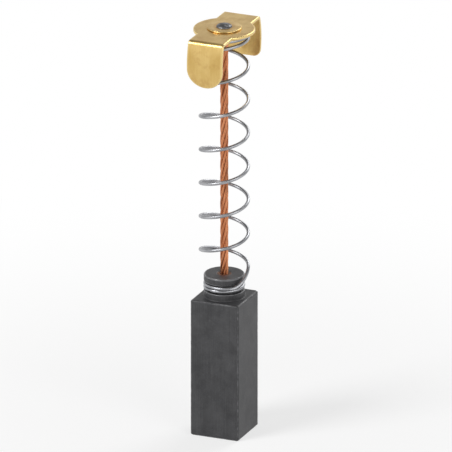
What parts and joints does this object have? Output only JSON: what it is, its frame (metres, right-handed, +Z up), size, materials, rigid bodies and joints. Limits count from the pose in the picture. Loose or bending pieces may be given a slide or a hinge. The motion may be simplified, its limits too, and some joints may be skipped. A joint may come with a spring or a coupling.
{
  "type": "carbon brush",
  "caption": "Motor brush: square graphite block with a grooved boss, a pressure spring, a stranded copper shunt and a folded brass clip with an eyelet.",
  "frame": {"origin": "middle of the block's flat running face", "axes": "+Z up the brush's axis, from the running face to the clip. X along the clip's folds. -Y towards the round-ended front leg, +Y towards the square back leg"},
  "size_m": [0.0074, 0.0124, 0.0525],
  "materials": {
    "carbon": "matte",
    "tamping": "matte",
    "spring_steel": "satin",
    "copper": "satin",
    "clip_brass": "satin",
    "eyelet_brass": "satin",
    "solder": "satin"
  },
  "bodies": {
    "brush": {"carbon_block": "carbon", "tamping_plug": "tamping", "pressure_spring": "spring_steel", "shunt_core": "copper", "shunt_strand_1": "copper", "shunt_strand_2": "copper", "shunt_strand_3": "copper", "shunt_strand_4": "copper", "shunt_strand_5": "copper", "shunt_strand_6": "copper"},
    "terminal": {"terminal_clip": "clip_brass", "eyelet": "eyelet_brass", "solder_bead": "solder"}
  },
  "joints": [
    {"name": "spring_travel", "type": "slide", "parent": "brush", "child": "terminal", "axis": [0, 0, -1], "range_m": [0, 0.02], "stiffness_N_per_m": 217, "deforming": ["pressure_spring", "shunt_core", "shunt_strand_1", "shunt_strand_2", "shunt_strand_3", "shunt_strand_4", "shunt_strand_5", "shunt_strand_6"]}
  ]
}
